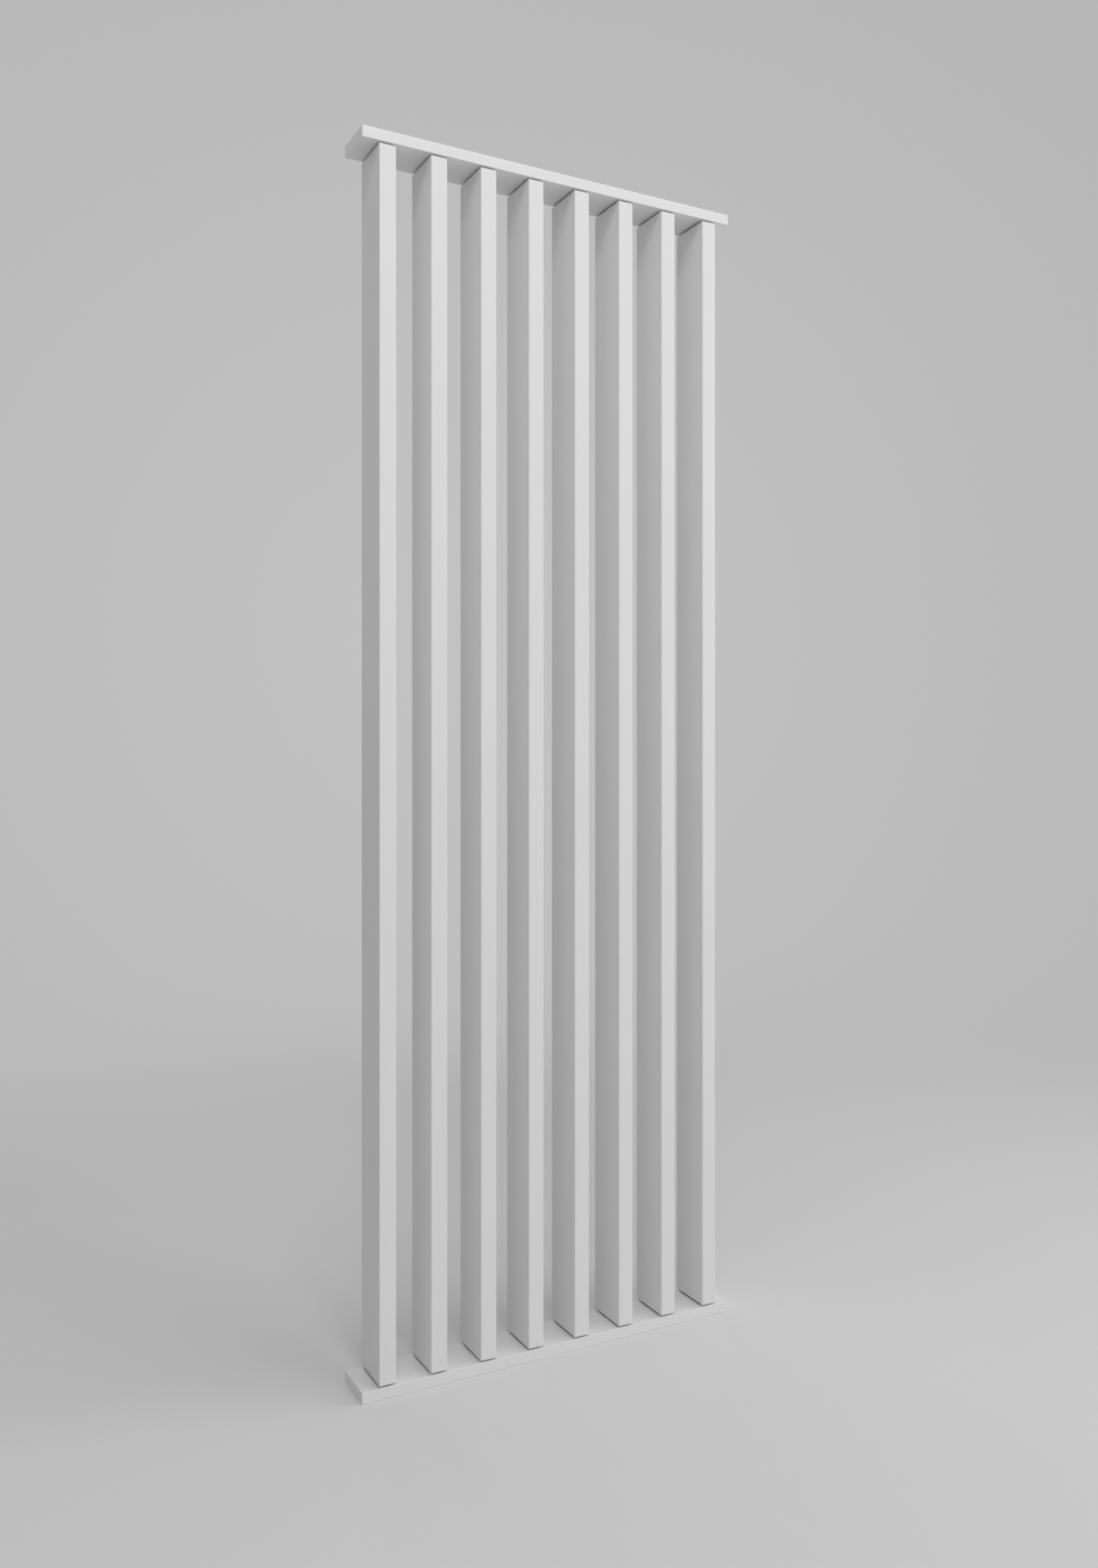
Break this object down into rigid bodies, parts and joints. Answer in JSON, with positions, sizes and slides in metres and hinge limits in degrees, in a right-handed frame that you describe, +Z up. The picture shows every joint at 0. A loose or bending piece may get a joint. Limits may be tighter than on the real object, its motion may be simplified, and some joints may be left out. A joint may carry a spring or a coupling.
{
  "type": "rotating slat room divider",
  "caption": "Tall room divider of upright white slats between a floor board and a ceiling board, each slat turning on its own hidden pivots.",
  "frame": {"origin": "centre of the floor face of the lower board", "axes": "+X along the boards, +Y through the divider with the front at -Y, +Z up"},
  "size_m": [0.8398, 0.1, 2.4],
  "materials": {
    "white_lacquer": "satin white lacquer on fibreboard, no grain showing",
    "acetal": "natural white moulded acetal",
    "steel": "turned zinc-plated steel"
  },
  "bodies": {
    "frame": {"bottom_rail": "white_lacquer", "top_rail": "white_lacquer", "lower_bush_1": "acetal", "lower_bush_2": "acetal", "lower_bush_3": "acetal", "lower_bush_4": "acetal", "lower_bush_5": "acetal", "lower_bush_6": "acetal", "lower_bush_7": "acetal", "lower_bush_8": "acetal", "upper_bush_1": "acetal", "upper_bush_2": "acetal", "upper_bush_3": "acetal", "upper_bush_4": "acetal", "upper_bush_5": "acetal", "upper_bush_6": "acetal", "upper_bush_7": "acetal", "upper_bush_8": "acetal"},
    "slat_1": {"slat_1": "white_lacquer", "lower_pin_1": "steel", "pin_sleeve_1": "steel", "pin_spring_1": "steel"},
    "slat_2": {"slat_2": "white_lacquer", "lower_pin_2": "steel", "pin_sleeve_2": "steel", "pin_spring_2": "steel"},
    "slat_3": {"slat_3": "white_lacquer", "lower_pin_3": "steel", "pin_sleeve_3": "steel", "pin_spring_3": "steel"},
    "slat_4": {"slat_4": "white_lacquer", "lower_pin_4": "steel", "pin_sleeve_4": "steel", "pin_spring_4": "steel"},
    "slat_5": {"slat_5": "white_lacquer", "lower_pin_5": "steel", "pin_sleeve_5": "steel", "pin_spring_5": "steel"},
    "slat_6": {"slat_6": "white_lacquer", "lower_pin_6": "steel", "pin_sleeve_6": "steel", "pin_spring_6": "steel"},
    "slat_7": {"slat_7": "white_lacquer", "lower_pin_7": "steel", "pin_sleeve_7": "steel", "pin_spring_7": "steel"},
    "slat_8": {"slat_8": "white_lacquer", "lower_pin_8": "steel", "pin_sleeve_8": "steel", "pin_spring_8": "steel"},
    "top_pin_1": {"upper_pin_1": "steel"},
    "top_pin_2": {"upper_pin_2": "steel"},
    "top_pin_3": {"upper_pin_3": "steel"},
    "top_pin_4": {"upper_pin_4": "steel"},
    "top_pin_5": {"upper_pin_5": "steel"},
    "top_pin_6": {"upper_pin_6": "steel"},
    "top_pin_7": {"upper_pin_7": "steel"},
    "top_pin_8": {"upper_pin_8": "steel"}
  },
  "joints": [
    {"name": "slat_1_turn", "type": "hinge", "parent": "frame", "child": "slat_1", "pos_m": [-0.36919, 0, 0], "axis": [0, 0, 1], "continuous": true},
    {"name": "slat_2_turn", "type": "hinge", "parent": "frame", "child": "slat_2", "pos_m": [-0.26371, 0, 0], "axis": [0, 0, 1], "continuous": true},
    {"name": "slat_3_turn", "type": "hinge", "parent": "frame", "child": "slat_3", "pos_m": [-0.15822, 0, 0], "axis": [0, 0, 1], "continuous": true},
    {"name": "slat_4_turn", "type": "hinge", "parent": "frame", "child": "slat_4", "pos_m": [-0.05274, 0, 0], "axis": [0, 0, 1], "continuous": true},
    {"name": "slat_5_turn", "type": "hinge", "parent": "frame", "child": "slat_5", "pos_m": [0.05274, 0, 0], "axis": [0, 0, 1], "continuous": true},
    {"name": "slat_6_turn", "type": "hinge", "parent": "frame", "child": "slat_6", "pos_m": [0.15822, 0, 0], "axis": [0, 0, 1], "continuous": true},
    {"name": "slat_7_turn", "type": "hinge", "parent": "frame", "child": "slat_7", "pos_m": [0.26371, 0, 0], "axis": [0, 0, 1], "continuous": true},
    {"name": "slat_8_turn", "type": "hinge", "parent": "frame", "child": "slat_8", "pos_m": [0.36919, 0, 0], "axis": [0, 0, 1], "continuous": true},
    {"name": "top_pin_1_press", "type": "slide", "parent": "slat_1", "child": "top_pin_1", "axis": [0, 0, -1], "range_m": [0, 0.0137], "stiffness_N_per_m": 1000, "springref_m": -0.008, "deforming": ["pin_spring_1"]},
    {"name": "top_pin_2_press", "type": "slide", "parent": "slat_2", "child": "top_pin_2", "axis": [0, 0, -1], "range_m": [0, 0.0137], "stiffness_N_per_m": 1000, "springref_m": -0.008, "deforming": ["pin_spring_2"]},
    {"name": "top_pin_3_press", "type": "slide", "parent": "slat_3", "child": "top_pin_3", "axis": [0, 0, -1], "range_m": [0, 0.0137], "stiffness_N_per_m": 1000, "springref_m": -0.008, "deforming": ["pin_spring_3"]},
    {"name": "top_pin_4_press", "type": "slide", "parent": "slat_4", "child": "top_pin_4", "axis": [0, 0, -1], "range_m": [0, 0.0137], "stiffness_N_per_m": 1000, "springref_m": -0.008, "deforming": ["pin_spring_4"]},
    {"name": "top_pin_5_press", "type": "slide", "parent": "slat_5", "child": "top_pin_5", "axis": [0, 0, -1], "range_m": [0, 0.0137], "stiffness_N_per_m": 1000, "springref_m": -0.008, "deforming": ["pin_spring_5"]},
    {"name": "top_pin_6_press", "type": "slide", "parent": "slat_6", "child": "top_pin_6", "axis": [0, 0, -1], "range_m": [0, 0.0137], "stiffness_N_per_m": 1000, "springref_m": -0.008, "deforming": ["pin_spring_6"]},
    {"name": "top_pin_7_press", "type": "slide", "parent": "slat_7", "child": "top_pin_7", "axis": [0, 0, -1], "range_m": [0, 0.0137], "stiffness_N_per_m": 1000, "springref_m": -0.008, "deforming": ["pin_spring_7"]},
    {"name": "top_pin_8_press", "type": "slide", "parent": "slat_8", "child": "top_pin_8", "axis": [0, 0, -1], "range_m": [0, 0.0137], "stiffness_N_per_m": 1000, "springref_m": -0.008, "deforming": ["pin_spring_8"]}
  ]
}
